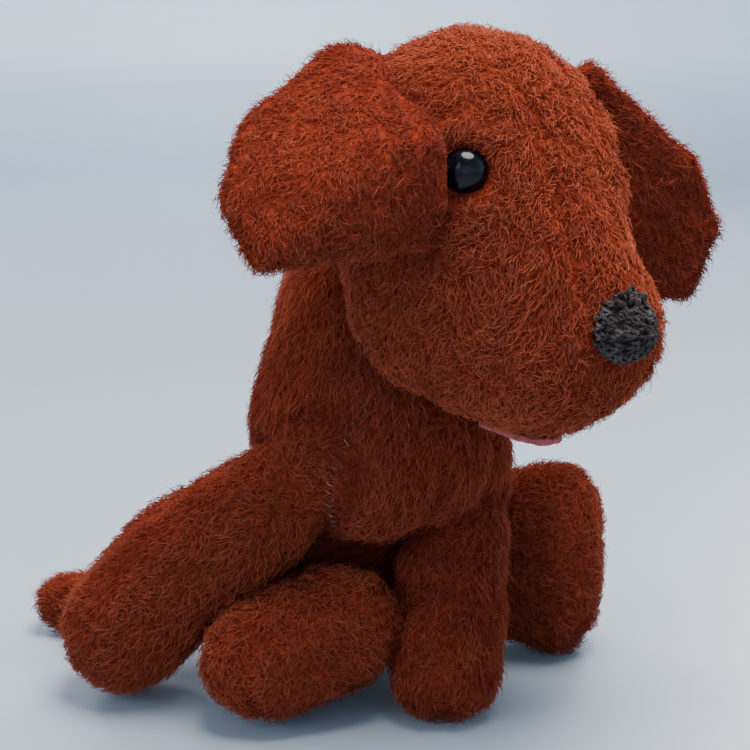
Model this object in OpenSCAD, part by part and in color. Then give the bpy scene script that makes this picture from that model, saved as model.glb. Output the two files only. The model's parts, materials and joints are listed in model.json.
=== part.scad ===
// Sitting plush dog: sewn pile-fabric covers over soft stuffing.
// Millimetres, +Z up. The dog looks along -Y, so its right side is -X.
// The origin is the centre of the flat seat under the rump, which rests on the floor.

/* [Cloth] */
// thickness of the pile fabric's backing with its pressed pile
cloth_t = 2; // [1.6:0.1:2.2]
// clearance between a limb's root and the socket it sits in
root_gap = 0.8; // [0.7:0.1:1]
// clearance between the head and the neck it turns on
neck_gap = 2; // [1.8:0.1:2.2]

/* [Torso] */
// radius of the chest
chest_r = 42; // [41.5:0.5:42.5]
// height of the chest's centre
chest_z = 90; // [89:1:91]
// distance of the chest's centre in front of the seat
chest_fwd = 30; // [29:1:31]
// radius of the neck's ball
neck_r = 32; // [31:0.5:32]
// height of the neck's ball, which the head turns on
neck_z = 126; // [125:1:127]
// radius of the rump
rump_r = 28; // [27.5:0.5:28.5]
// height of the rump's centre, a little less than its radius, which leaves the flat seat
rump_z = 26.5; // [26:0.5:27]
// width of the panel under the belly and chest
belly_w = 26; // [22:1:30]

/* [Head] */
// radius of the skull
skull_r = 40.5; // [40:0.5:41]
// height of the skull's centre
skull_z = 182; // [181:1:183]
// distance of the skull's centre in front of the seat
skull_fwd = 68; // [67:1:69]
// turn of the head towards the dog's right, degrees
head_turn = 6; // [4:1:8]
// radius of the muzzle
muzzle_r = 32; // [31:0.5:32.5]
// width of the strip from nose to nape
gusset_w = 22; // [18:1:26]
// radius of the knotted nose
nose_r = 10.5; // [9:0.5:11]
// radius of a glossy eye
eye_r = 7; // [6:0.5:7.5]
// length of the felt tongue
tongue_l = 26; // [22:1:30]

/* [Ears] */
// radius of an ear's edge, half its thickness
ear_r = 4.5; // [4:0.25:4.75]
// reach of an ear from its root to its tip
ear_reach = 54; // [50:1:56]
// length of an ear along its root
ear_drop = 62; // [58:1:64]

/* [Legs and tail] */
// radius of a foreleg at the shoulder
foreleg_root_r = 17; // [16.5:0.5:17]
// radius of a foreleg at the paw
paw_r = 20; // [19:0.5:20]
// radius of the rounded ends of a hind foot
foot_r = 18.5; // [18:0.5:18.5]
// distance of a sole from the middle of its foot
sole_out = 13; // [12:0.5:14]
// radius of the tail at its tip
tail_tip_r = 10.2; // [9.8:0.2:10.4]

/* [Hidden] */

big = 400;
slit = 0.1;
fine = 24;
small = 20;

chest_half = 3;
rump_half = 6;
waist_r = 26;
seat_back = 13;
throat_z = neck_z - 7;
chest_c = [0, -chest_fwd, chest_z];
neck_c = [0, 4 - chest_fwd, neck_z];
waist_c = [0, -18, 64];

shoulder_right = [-31, -25, 79];
paw_right = [-71, 23, 23.5];
shoulder_left = [25, -48, 68];
paw_left = [-13, -72, 17.6];
foreleg_thin = 1.5;
foreleg_left_paw_thin = 2.8;

hip_right = [-20, -8, 24];
foot_right = [-48, -38, 23.8];
foot_right_dir = [0.78, -0.52, 0.34];
foot_right_half = 12;
sole_right_dir = [-0.55, -0.83, 0.1];
hip_left = [22, -7, 26];
foot_left = [56.5, -66, 34.7];
foot_left_dir = [0.1, 0.13, 0.99];
foot_left_half = 15.2;
sole_left_dir = [0.25, -0.96, 0.1];
hip_r = 12;

tail_root = [0, 30, 16];
tail_tip = [-50, 82, 10.7];
tail_root_r = 11.5;

foreleg_right_sweep = [-3, 12, 28];
foreleg_left_sweep = [0, 11, 22];
hindleg_right_sweep = [-5, 0, 6];
hindleg_left_sweep = [0, 6, 12];
tail_sweep = [-20, 0, 20];

cloth_rust = [0.58, 0.22, 0.10];
stuffing_pale = [0.86, 0.82, 0.72];
thread_dark = [0.25, 0.12, 0.08];
felt_pink = [0.80, 0.42, 0.42];
wool_grey = [0.23, 0.20, 0.20];
eye_black = [0.03, 0.03, 0.035];

// axis of a foreleg's seam: level and square to the leg, so a positive turn lifts the paw
function lift_axis(root, tip) = [root.y - tip.y, tip.x - root.x, 0] * -1;

function unit(v) = v / norm(v);

module ball(p, r) {
    translate(p)
        sphere(r = r);
}

// puts +Z along the line from p0 to p1
module aim(p0, p1) {
    d = p1 - p0;
    translate(p0)
        rotate([0, acos(d.z / norm(d)), atan2(d.y, d.x)])
            children();
}

// one hull around a limb's root and its end at each angle of its travel
module swept_hull(pivot, root_r, axis, angles, g) {
    hull() {
        ball(pivot, root_r + g, $fn = small);
        for (a = angles)
            translate(pivot)
                rotate(a = a, v = axis)
                    translate(-pivot)
                        children();
    }
}

module above(z) {
    translate([-big / 2, -big / 2, z])
        cube(big);
}

// ---- outlines, grown by g ----

module chest_form(g) {
    hull() {
        for (s = [-1, 1])
            ball(chest_c + [s * chest_half, 0, 0], chest_r + g, $fn = fine);
        ball(neck_c, neck_r + g, $fn = fine);
    }
}

module rump_form(g) {
    hull() {
        for (s = [-1, 1])
            ball([s * rump_half, 0, rump_z], rump_r + g, $fn = fine);
        ball(waist_c, waist_r + g, $fn = fine);
    }
}

module limb_form(root, root_r, tip, tip_r, g) {
    hull() {
        ball(root, root_r + g, $fn = small);
        ball(tip, tip_r + g, $fn = small);
    }
}

module foot_form(hip, foot, dir, half, sole_dir, g) {
    difference() {
        hull() {
            for (s = [-1, 1])
                ball(foot + s * half * dir, foot_r + g, $fn = small);
            ball(hip, hip_r + g, $fn = small);
        }
        aim(foot, foot + sole_dir)
            above(sole_out + g);
    }
}

module foreleg_right_form(g) {
    limb_form(shoulder_right, foreleg_root_r, paw_right, paw_r, g);
}

module foreleg_left_form(g) {
    limb_form(shoulder_left, foreleg_root_r - foreleg_thin, paw_left, paw_r - foreleg_left_paw_thin, g);
}

module hindleg_right_form(g) {
    foot_form(hip_right, foot_right, foot_right_dir, foot_right_half, sole_right_dir, g);
}

module hindleg_left_form(g) {
    foot_form(hip_left, foot_left, foot_left_dir, foot_left_half, sole_left_dir, g);
}

module tail_form(g) {
    limb_form(tail_root, tail_root_r, tail_tip, tail_tip_r, g);
}

// room that the limbs and the tail need in the torso over their whole travel
module limb_room() {
    swept_hull(shoulder_right, foreleg_root_r, lift_axis(shoulder_right, paw_right), foreleg_right_sweep, root_gap)
        ball(paw_right, paw_r + root_gap, $fn = small);
    swept_hull(shoulder_left, foreleg_root_r - foreleg_thin, lift_axis(shoulder_left, paw_left),
               foreleg_left_sweep, root_gap)
        ball(paw_left, paw_r - foreleg_left_paw_thin + root_gap, $fn = small);
    swept_hull(hip_right, hip_r, [0, 0, -1], hindleg_right_sweep, root_gap)
        for (s = [-1, 1])
            ball(foot_right + s * foot_right_half * foot_right_dir, foot_r + root_gap, $fn = small);
    swept_hull(hip_left, hip_r, [0, 0, 1], hindleg_left_sweep, root_gap)
        for (s = [-1, 1])
            ball(foot_left + s * foot_left_half * foot_left_dir, foot_r + root_gap, $fn = small);
    swept_hull(tail_root, tail_root_r, [0, 0, 1], tail_sweep, root_gap)
        ball(tail_tip, tail_tip_r + root_gap, $fn = small);
}

module torso_solid(g) {
    difference() {
        intersection() {
            union() {
                chest_form(g);
                rump_form(g);
            }
            above(-g);
        }
        limb_room();
    }
}

module torso_shell() {
    difference() {
        torso_solid(0);
        intersection() {
            union() {
                chest_form(-cloth_t);
                rump_form(-cloth_t);
            }
            above(cloth_t);
        }
    }
}

// the belly panel runs from the throat down the chest and under the seat
module belly_zone(g) {
    translate([-belly_w / 2 - g, -big, -1])
        cube([belly_w + 2 * g, big - chest_fwd / 2 + g, throat_z + 1 + g]);
    translate([-belly_w / 2 - g, -big, -1])
        cube([belly_w + 2 * g, big + seat_back + g, seat_back + g]);
}

module torso_side(s) {
    difference() {
        torso_shell();
        belly_zone(slit / 2);
        translate([s > 0 ? -big : -slit / 2, -big / 2, -big / 2])
            cube([big + slit / 2, big, big]);
    }
}

// ---- head, built about the skull's centre ----

skull_c = [0, -skull_fwd, skull_z];
skull_half = 3;
cheek_z = -40;
cheek_r = 36;
cheek_half = 5;
bridge_c = [0, -24, -34];
bridge_r = 33.5;
muzzle_c = [0, -31, -49];
mouth_z = muzzle_c.z + 5;
chin_back = 2;
nose_c = [0, muzzle_c.y - muzzle_r - 0.5, -43];

module on_head() {
    translate(skull_c)
        rotate([0, 0, -head_turn])
            children();
}

module head_form(g) {
    hull() {
        for (s = [-1, 1])
            ball([s * skull_half, 0, 0], skull_r + g, $fn = fine);
        for (s = [-1, 1])
            ball([s * cheek_half, 0, cheek_z], cheek_r + g, $fn = fine);
        ball(bridge_c, bridge_r + g, $fn = fine);
        ball(muzzle_c, muzzle_r + g, $fn = fine);
    }
}

module chin_zone(g) {
    translate([-gusset_w / 2 - g, -big, -big])
        cube([gusset_w + 2 * g, big + chin_back, big + mouth_z + g]);
}

module gusset_zone(g) {
    difference() {
        translate([-gusset_w / 2 - g, -big / 2, -big / 2])
            cube([gusset_w + 2 * g, big, big]);
        chin_zone(-g);
    }
}

// eyes sit on the skull, to the front and a little above its middle
eye_turn = 45;
eye_rise = 3;
eye_out = skull_r + 1.1;
shank_r = 1.6;
shank_l = 8;
washer_r = 7;
washer_t = 1.2;
washer_in = cloth_t + 2.4;

module at_eye(s) {
    translate([s * skull_half, 0, 0])
        rotate([0, 0, s * (eye_turn - 90) + (s < 0 ? 180 : 0)])
            rotate([0, 90 - eye_rise, 0])
                translate([0, 0, eye_out])
                    children();
}

module head_shell() {
    difference() {
        head_form(0);
        head_form(-cloth_t);
        for (s = [-1, 1])
            at_eye(s)
                translate([0, 0, -shank_l])
                    cylinder(r = shank_r + slit, h = 2 * shank_l, $fn = small);
    }
}

module head_part() {
    difference() {
        on_head()
            intersection() {
                head_shell();
                children();
            }
        chest_form(neck_gap);
    }
}

module head_side(s) {
    head_part()
        difference() {
            translate([s > 0 ? 0 : -big, -big / 2, -big / 2])
                cube(big);
            gusset_zone(slit);
            chin_zone(slit);
        }
}

module eye(s) {
    on_head()
        at_eye(s)
            union() {
                intersection() {
                    translate([0, 0, 0.2 - eye_r * 0.25])
                        sphere(r = eye_r, $fn = 48);
                    translate([-eye_r, -eye_r, 0.2])
                        cube(2 * eye_r);
                }
                translate([0, 0, -shank_l])
                    cylinder(r = shank_r, h = shank_l + 1, $fn = 24);
            }
}

module eye_washer(s) {
    on_head()
        at_eye(s)
            translate([0, 0, -washer_in - washer_t])
                difference() {
                    cylinder(r = washer_r, h = washer_t, $fn = 48);
                    translate([0, 0, -1])
                        cylinder(r = shank_r + slit, h = washer_t + 2, $fn = 24);
                }
}

// ---- ears ----

// each ear's root on its own side, then its lean and its sweep back in degrees
ear_right_root = [20, 20, 31];
ear_right_lean = -44;
ear_right_sweep = 25.4;
ear_left_root = [31, -7, 23];
ear_left_lean = 2;
ear_left_sweep = -32;
ear_layer = 1.6;
ear_swing = 12;
head_clear = 1;

// puts the ear's root edge along -Z and its reach along +X
module ear_place(s) {
    on_head()
        mirror([s > 0 ? 0 : 1, 0, 0])
            translate(s > 0 ? ear_left_root : ear_right_root)
                rotate([0, 0, s > 0 ? ear_left_sweep : ear_right_sweep])
                    rotate([s > 0 ? ear_left_lean : ear_right_lean, 0, 0])
                        children();
}

module ear_form(g) {
    outline = [[0, 0], [0.22 * ear_reach, 5], [0.82 * ear_reach, -0.39 * ear_drop],
               [ear_reach, -0.76 * ear_drop], [0.85 * ear_reach, -1.1 * ear_drop], [0, -ear_drop]];
    hull()
        for (p = outline)
            ball([p.x, 0, p.y], ear_r + g, $fn = small);
}

// the head's outline seen from the ear's own place, turned with the ear's swing
module head_room(s) {
    for (a = [-ear_swing, 0, ear_swing])
        rotate([0, 0, a])
            rotate([s > 0 ? -ear_left_lean : -ear_right_lean, 0, 0])
                rotate([0, 0, s > 0 ? -ear_left_sweep : -ear_right_sweep])
                    translate(s > 0 ? -ear_left_root : -ear_right_root)
                        head_form(head_clear);
}

module ear_slice(s, y0, y1, g) {
    ear_place(s)
        difference() {
            intersection() {
                ear_form(g);
                translate([-big / 2, y0, -big / 2])
                    cube([big, y1 - y0, big]);
            }
            head_room(s);
        }
}

module ear_outer(s) {
    ear_slice(s, ear_layer + slit, ear_r, 0);
}

module ear_lining(s) {
    ear_slice(s, -ear_r, -ear_layer - slit, 0);
}

module ear_wadding(s) {
    ear_slice(s, -ear_layer, ear_layer, -cloth_t);
}

// ---- sub-parts ----

module body_side_right() {
    color(cloth_rust)
        torso_side(-1);
}

module body_side_left() {
    color(cloth_rust)
        torso_side(1);
}

module belly_panel() {
    color(cloth_rust)
        intersection() {
            torso_shell();
            belly_zone(-slit / 2);
        }
}

module body_stuffing() {
    color(stuffing_pale)
        torso_solid(-cloth_t - slit);
}

// hand stitches beside the right shoulder's seam, laid on the chest
module shoulder_stitches() {
    count = 11;
    thread_r = 0.5;
    stitch_l = 2.4;
    spread = 120;
    seat_r = chest_r + thread_r + 0.1;
    seam_r = foreleg_root_r + 4;
    chest_side = chest_c - [chest_half, 0, 0];
    out = shoulder_right - chest_side;
    reach = norm(out);
    along = (reach * reach + seat_r * seat_r - seam_r * seam_r) / (2 * reach);
    ring_r = sqrt(seat_r * seat_r - along * along);
    color(thread_dark)
        aim(chest_side, shoulder_right)
            for (i = [0 : count - 1])
                rotate([0, 0, 90 + spread * (i / (count - 1) - 0.5)])
                    translate([ring_r, 0, along])
                        rotate([90, 0, 0])
                            translate([0, 0, -stitch_l / 2])
                                cylinder(r = thread_r, h = stitch_l, $fn = 16);
}

module head_side_right() {
    color(cloth_rust)
        head_side(-1);
}

module head_side_left() {
    color(cloth_rust)
        head_side(1);
}

module head_gusset() {
    color(cloth_rust)
        head_part()
            gusset_zone(0);
}

module chin_panel() {
    color(cloth_rust)
        head_part()
            chin_zone(0);
}

module head_stuffing() {
    color(stuffing_pale)
        difference() {
            on_head()
                difference() {
                    head_form(-cloth_t - slit);
                    for (s = [-1, 1])
                        at_eye(s)
                            translate([0, 0, -shank_l - 1])
                                cylinder(r = washer_r + 1, h = 2 * shank_l, $fn = small);
                }
            chest_form(neck_gap);
        }
}

module eye_right() {
    color(eye_black)
        eye(-1);
}

module eye_left() {
    color(eye_black)
        eye(1);
}

module eye_washer_right() {
    color(stuffing_pale)
        eye_washer(-1);
}

module eye_washer_left() {
    color(stuffing_pale)
        eye_washer(1);
}

module nose_knot() {
    color(wool_grey)
        on_head()
            difference() {
                ball(nose_c, nose_r, $fn = fine);
                head_form(slit);
            }
}

module tongue() {
    tongue_w = 20;
    felt_t = 2.4;
    sag = 5;
    color(felt_pink)
        on_head()
            difference() {
                translate([0, muzzle_c.y, muzzle_c.z - muzzle_r + 0.9])
                    rotate([sag, 0, 0])
                        translate([0, 0, -felt_t])
                            linear_extrude(felt_t)
                                union() {
                                    translate([-tongue_w / 2, tongue_w / 2 - tongue_l / 2])
                                        square([tongue_w, tongue_l - tongue_w / 2]);
                                    translate([0, tongue_w / 2 - tongue_l / 2])
                                        circle(d = tongue_w, $fn = 48);
                                }
                head_form(slit);
            }
}

module ear_right_outer() {
    color(cloth_rust)
        ear_outer(-1);
}

module ear_right_lining() {
    color(cloth_rust)
        ear_lining(-1);
}

module ear_right_wadding() {
    color(stuffing_pale)
        ear_wadding(-1);
}

module ear_left_outer() {
    color(cloth_rust)
        ear_outer(1);
}

module ear_left_lining() {
    color(cloth_rust)
        ear_lining(1);
}

module ear_left_wadding() {
    color(stuffing_pale)
        ear_wadding(1);
}

// half of a two-panel cover: s = 1 is the side that the second axis of the leg points to
module half_of(root, tip, s) {
    aim(root, tip)
        translate([-big / 2, s > 0 ? slit / 2 : -big - slit / 2, -big / 2])
            cube(big);
}

module foreleg_right_shell() {
    difference() {
        foreleg_right_form(0);
        foreleg_right_form(-cloth_t);
    }
}

module foreleg_left_shell() {
    difference() {
        foreleg_left_form(0);
        foreleg_left_form(-cloth_t);
    }
}

module foreleg_right_front() {
    color(cloth_rust)
        intersection() {
            foreleg_right_shell();
            half_of(shoulder_right, paw_right, 1);
        }
}

module foreleg_right_back() {
    color(cloth_rust)
        intersection() {
            foreleg_right_shell();
            half_of(shoulder_right, paw_right, -1);
        }
}

module foreleg_right_stuffing() {
    color(stuffing_pale)
        foreleg_right_form(-cloth_t - slit);
}

module foreleg_left_front() {
    color(cloth_rust)
        intersection() {
            foreleg_left_shell();
            half_of(shoulder_left, paw_left, 1);
        }
}

module foreleg_left_back() {
    color(cloth_rust)
        intersection() {
            foreleg_left_shell();
            half_of(shoulder_left, paw_left, -1);
        }
}

module foreleg_left_stuffing() {
    color(stuffing_pale)
        foreleg_left_form(-cloth_t - slit);
}

module hindleg_right_cover() {
    color(cloth_rust)
        difference() {
            hindleg_right_form(0);
            hindleg_right_form(-cloth_t);
            aim(foot_right, foot_right + sole_right_dir)
                above(sole_out - cloth_t);
        }
}

module hindleg_right_sole() {
    color(cloth_rust)
        intersection() {
            hindleg_right_form(0);
            aim(foot_right, foot_right + sole_right_dir)
                above(sole_out - cloth_t + slit);
        }
}

module hindleg_right_stuffing() {
    color(stuffing_pale)
        hindleg_right_form(-cloth_t - slit);
}

module hindleg_left_cover() {
    color(cloth_rust)
        difference() {
            hindleg_left_form(0);
            hindleg_left_form(-cloth_t);
            aim(foot_left, foot_left + sole_left_dir)
                above(sole_out - cloth_t);
        }
}

module hindleg_left_sole() {
    color(cloth_rust)
        intersection() {
            hindleg_left_form(0);
            aim(foot_left, foot_left + sole_left_dir)
                above(sole_out - cloth_t + slit);
        }
}

module hindleg_left_stuffing() {
    color(stuffing_pale)
        hindleg_left_form(-cloth_t - slit);
}

module tail_half(s) {
    intersection() {
        difference() {
            tail_form(0);
            tail_form(-cloth_t);
        }
        aim(tail_root, tail_tip)
            translate([s > 0 ? -big - slit / 2 : slit / 2, -big / 2, -big / 2])
                cube(big);
    }
}

module tail_upper() {
    color(cloth_rust)
        tail_half(1);
}

module tail_lower() {
    color(cloth_rust)
        tail_half(-1);
}

module tail_stuffing() {
    color(stuffing_pale)
        tail_form(-cloth_t - slit);
}

body_side_right();
body_side_left();
belly_panel();
body_stuffing();
shoulder_stitches();
head_side_right();
head_side_left();
head_gusset();
chin_panel();
head_stuffing();
eye_right();
eye_left();
eye_washer_right();
eye_washer_left();
nose_knot();
tongue();
ear_right_outer();
ear_right_lining();
ear_right_wadding();
ear_left_outer();
ear_left_lining();
ear_left_wadding();
foreleg_right_front();
foreleg_right_back();
foreleg_right_stuffing();
foreleg_left_front();
foreleg_left_back();
foreleg_left_stuffing();
hindleg_right_cover();
hindleg_right_sole();
hindleg_right_stuffing();
hindleg_left_cover();
hindleg_left_sole();
hindleg_left_stuffing();
tail_upper();
tail_lower();
tail_stuffing();
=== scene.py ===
"""Sitting plush dog in curly rust-red pile fabric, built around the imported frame."""

import json
import math

import bmesh
import bpy
import numpy as np
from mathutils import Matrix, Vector
from mathutils.bvhtree import BVHTree


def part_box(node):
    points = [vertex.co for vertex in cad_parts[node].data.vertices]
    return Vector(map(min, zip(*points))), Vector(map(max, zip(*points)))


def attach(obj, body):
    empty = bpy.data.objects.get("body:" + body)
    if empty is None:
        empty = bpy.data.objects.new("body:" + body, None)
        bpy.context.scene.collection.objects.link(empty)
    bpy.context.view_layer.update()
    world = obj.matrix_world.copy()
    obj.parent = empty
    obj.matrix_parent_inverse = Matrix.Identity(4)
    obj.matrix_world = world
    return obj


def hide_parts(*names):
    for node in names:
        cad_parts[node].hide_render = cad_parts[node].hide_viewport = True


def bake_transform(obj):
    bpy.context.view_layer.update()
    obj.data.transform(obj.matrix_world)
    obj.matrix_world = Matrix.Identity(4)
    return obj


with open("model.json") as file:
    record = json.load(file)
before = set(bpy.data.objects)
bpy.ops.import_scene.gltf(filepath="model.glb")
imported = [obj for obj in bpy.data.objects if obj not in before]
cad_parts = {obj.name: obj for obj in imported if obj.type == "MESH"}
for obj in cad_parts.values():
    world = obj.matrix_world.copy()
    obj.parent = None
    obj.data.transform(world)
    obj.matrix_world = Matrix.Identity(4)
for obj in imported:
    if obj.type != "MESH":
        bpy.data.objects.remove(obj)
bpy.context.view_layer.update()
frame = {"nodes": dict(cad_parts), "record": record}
NODES = frame["nodes"]
JOINTS = {j["name"]: j for j in frame["record"]["behaviour"]["joints"]}
SIDES = ("right", "left")
MM = 0.001
FLOOR_CLEAR = 0.3 * MM


# ---- camera, stage and lights ----

def make_camera():
    """The photograph's viewpoint."""
    azimuth, elevation = math.radians(-50), math.radians(14)
    distance, lens, sensor = 0.560, 77.9, 36
    aim = Vector((0.00285, -0.02626, 0.10641))
    back = Vector((math.sin(azimuth) * math.cos(elevation),
                   -math.cos(azimuth) * math.cos(elevation), math.sin(elevation)))
    data = bpy.data.cameras.new("camera")
    data.lens, data.sensor_width = lens, sensor
    data.clip_start, data.clip_end = 0.01, 50
    cam = link("camera", data)
    cam.location = aim + back * distance
    cam.rotation_mode = "QUATERNION"
    cam.rotation_quaternion = (-back).to_track_quat("-Z", "Y")
    bpy.context.scene.camera = cam


def make_light(name, where, target, size, power, colour):
    """A round area light that faces its target."""
    data = bpy.data.lights.new(name, "AREA")
    data.shape, data.size = "DISK", size
    data.energy, data.color = power, colour
    lamp = link(name, data)
    lamp.location = where
    lamp.rotation_mode = "QUATERNION"
    lamp.rotation_quaternion = (Vector(target) - Vector(where)).to_track_quat("-Z", "Y")


def make_stage():
    """A pale floor that curves up into a lighter backdrop all round."""
    profile = [(0.9, 0.0), (1.5, 0.0), (1.9, 0.06), (2.2, 0.3), (2.35, 0.8), (2.4, 2.4)]
    count = 96
    bm = bmesh.new()
    rows = []
    for r, z in profile:
        rows.append([bm.verts.new((r * math.cos(2 * math.pi * i / count),
                                   r * math.sin(2 * math.pi * i / count), z)) for i in range(count)])
    middle = bm.verts.new((0, 0, 0))
    for i in range(count):
        k = (i + 1) % count
        bm.faces.new((middle, rows[0][i], rows[0][k]))
        for a, b in zip(rows, rows[1:]):
            bm.faces.new((a[i], b[i], b[k], a[k]))
    floor = from_bmesh("backdrop", bm)
    for p in floor.data.polygons:
        p.use_smooth = True
    mat, nodes, links, shader = new_material("backdrop_paper")
    where = nodes.new("ShaderNodeNewGeometry")
    height = nodes.new("ShaderNodeSeparateXYZ")
    links.new(where.outputs["Position"], height.inputs[0])
    paper = ramp(nodes, [(0.0, (0.425, 0.50, 0.59)), (0.12, (0.79, 0.895, 1.0))])
    links.new(height.outputs["Z"], paper.inputs[0])
    links.new(paper.outputs["Color"], shader.inputs["Base Color"])
    shader.inputs["Roughness"].default_value = 0.42
    floor.data.materials.append(mat)


def make_lights():
    """A studio's soft light from above and the side, rims from behind, and a lit backdrop."""
    world = bpy.data.worlds.new("studio")
    bpy.context.scene.world = world
    world.use_nodes = True
    background = world.node_tree.nodes["Background"]
    background.inputs[0].default_value = (0.94, 0.965, 1.0, 1)
    background.inputs[1].default_value = 0.28
    make_light("top", (0.02, -0.16, 0.80), (0, -0.05, 0.12), 0.50, 11.8, (1.0, 0.96, 0.90))
    make_light("side", (-1.2, 0.1, 0.75), (0, 0.0, 0.1), 0.8, 3.6, (0.97, 0.97, 1.0))
    for name, where in (("rim_left", (0.20, 1.05, 0.62)), ("rim_right", (1.05, 0.20, 0.62))):
        make_light(name, where, (0, 0, 0.12), 0.35, 5.0, (1.0, 0.97, 0.93))
    lamp_out, lamp_high, wall_out, wall_high = 1.3, 0.9, 2.3, 0.12
    for turn in (45, 135, 225, 315):
        x, y = math.cos(math.radians(turn)), math.sin(math.radians(turn))
        make_light(f"wall_{turn}", (lamp_out * x, lamp_out * y, lamp_high),
                   (wall_out * x, wall_out * y, wall_high), 0.8, 12.0, (0.88, 0.945, 1.0))


# ---- materials ----

def new_material(name):
    mat = bpy.data.materials.new(name)
    mat.use_nodes = True
    nodes, links = mat.node_tree.nodes, mat.node_tree.links
    return mat, nodes, links, nodes["Principled BSDF"]


def ramp(nodes, stops):
    """A colour ramp with these (place, colour) stops."""
    node = nodes.new("ShaderNodeValToRGB")
    while len(node.color_ramp.elements) < len(stops):
        node.color_ramp.elements.new(0.5)
    for element, (place, colour) in zip(node.color_ramp.elements, stops):
        element.position = place
        element.color = (*colour, 1)
    return node


def noise(nodes, links, scale, detail):
    place = nodes.new("ShaderNodeTexCoord")
    tex = nodes.new("ShaderNodeTexNoise")
    tex.inputs["Scale"].default_value = scale
    tex.inputs["Detail"].default_value = detail
    links.new(place.outputs["Object"], tex.inputs["Vector"])
    return tex


def mottle(nodes, links, shader, scale, detail, stops):
    """Base colour that wanders through the stops with noise, which is returned."""
    tex = noise(nodes, links, scale, detail)
    colours = ramp(nodes, stops)
    links.new(tex.outputs["Fac"], colours.inputs[0])
    links.new(colours.outputs["Color"], shader.inputs["Base Color"])
    return tex


def fibres(nodes, links, shader, scale, detail, strength, distance):
    """Fine bumps from noise, for a fibrous surface."""
    tex = noise(nodes, links, scale, detail)
    node = nodes.new("ShaderNodeBump")
    node.inputs["Strength"].default_value = strength
    node.inputs["Distance"].default_value = distance
    links.new(tex.outputs["Fac"], node.inputs["Height"])
    links.new(node.outputs["Normal"], shader.inputs["Normal"])


def pile_material():
    """One strand's colour: dark at the root and lighter at the tip, a gradient that is painted shade deep
    in the pile, and a tone of its own.
    The strands' UV layer holds the tone and the way from root to tip."""
    mat, nodes, links, shader = new_material("wool_pile")
    uv = nodes.new("ShaderNodeUVMap")
    uv.uv_map = "OFBake"
    split = nodes.new("ShaderNodeSeparateXYZ")
    links.new(uv.outputs["UV"], split.inputs[0])
    dark = ramp(nodes, [(0.0, (0.115, 0.0120, 0.0062)), (0.45, (0.165, 0.0185, 0.0092)),
                        (1.0, (0.215, 0.0275, 0.0130))])
    pale = ramp(nodes, [(0.0, (0.200, 0.0240, 0.0110)), (0.45, (0.340, 0.0540, 0.0225)),
                        (1.0, (0.520, 0.1120, 0.0440))])
    mix = nodes.new("ShaderNodeMix")
    mix.data_type = "RGBA"
    links.new(split.outputs["X"], mix.inputs["Factor"])
    for colours, end in ((dark, "A"), (pale, "B")):
        links.new(split.outputs["Y"], colours.inputs[0])
        links.new(colours.outputs["Color"], mix.inputs[end])
    links.new(mix.outputs["Result"], shader.inputs["Base Color"])
    shader.inputs["Roughness"].default_value = 0.8
    shader.inputs["Specular IOR Level"].default_value = 0.05
    shader.inputs["Sheen Weight"].default_value = 0.11
    shader.inputs["Sheen Roughness"].default_value = 0.5
    shader.inputs["Sheen Tint"].default_value = (1.0, 0.62, 0.48, 1)
    return mat


def ground_material():
    """The woven ground under the pile, with its matted short fibres."""
    mat, nodes, links, shader = new_material("wool_ground")
    mottle(nodes, links, shader, 420, 6, [(0.34, (0.105, 0.0125, 0.0064)), (0.50, (0.170, 0.0225, 0.0108)),
                                          (0.68, (0.250, 0.0380, 0.0170))])
    fibres(nodes, links, shader, 700, 6, 1.0, 0.0016)
    shader.inputs["Roughness"].default_value = 0.95
    shader.inputs["Specular IOR Level"].default_value = 0.0
    return mat


def yarn_material():
    mat, nodes, links, shader = new_material("nose_yarn")
    mottle(nodes, links, shader, 260, 3, [(0.3, (0.020, 0.015, 0.015)), (0.55, (0.058, 0.046, 0.044)),
                                          (0.8, (0.130, 0.107, 0.100))])
    fibres(nodes, links, shader, 2600, 4, 0.6, 0.0004)
    shader.inputs["Roughness"].default_value = 0.9
    shader.inputs["Specular IOR Level"].default_value = 0.15
    return mat


def felt_material():
    mat, nodes, links, shader = new_material("pink_felt")
    mottle(nodes, links, shader, 420, 5, [(0.25, (0.26, 0.045, 0.050)), (0.75, (0.42, 0.100, 0.105))])
    fibres(nodes, links, shader, 1800, 5, 0.5, 0.0005)
    shader.inputs["Roughness"].default_value = 0.95
    return mat


def thread_material():
    mat, nodes, links, shader = new_material("sewing_thread")
    mottle(nodes, links, shader, 330, 1, [(0.42, (0.05, 0.009, 0.006)), (0.72, (0.34, 0.13, 0.08))])
    shader.inputs["Roughness"].default_value = 0.6
    return mat


def eye_material():
    """Polished black plastic with faint handling marks."""
    mat, nodes, links, shader = new_material("eye_gloss")
    marks = mottle(nodes, links, shader, 700, 5, [(0.35, (0.0012, 0.0016, 0.0028)),
                                                  (0.75, (0.004, 0.006, 0.010))])
    rough = ramp(nodes, [(0.3, (0.09,) * 3), (0.8, (0.2,) * 3)])
    links.new(marks.outputs["Fac"], rough.inputs[0])
    links.new(rough.outputs["Color"], shader.inputs["Roughness"])
    shader.inputs["Specular IOR Level"].default_value = 0.22
    return mat


# ---- meshes and points ----

def link(name, data):
    obj = bpy.data.objects.new(name, data)
    bpy.context.scene.collection.objects.link(obj)
    return obj


def from_bmesh(name, bm):
    mesh = bpy.data.meshes.new(name)
    bm.to_mesh(mesh)
    bm.free()
    return link(name, mesh)


def coords(obj):
    co = np.empty(len(obj.data.vertices) * 3)
    obj.data.vertices.foreach_get("co", co)
    return co.reshape(-1, 3)


def set_coords(obj, co):
    obj.data.vertices.foreach_set("co", np.asarray(co, float).ravel())
    obj.data.update()


def normals(obj):
    no = np.empty(len(obj.data.vertices) * 3)
    obj.data.vertex_normals.foreach_get("vector", no)
    return no.reshape(-1, 3)


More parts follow.
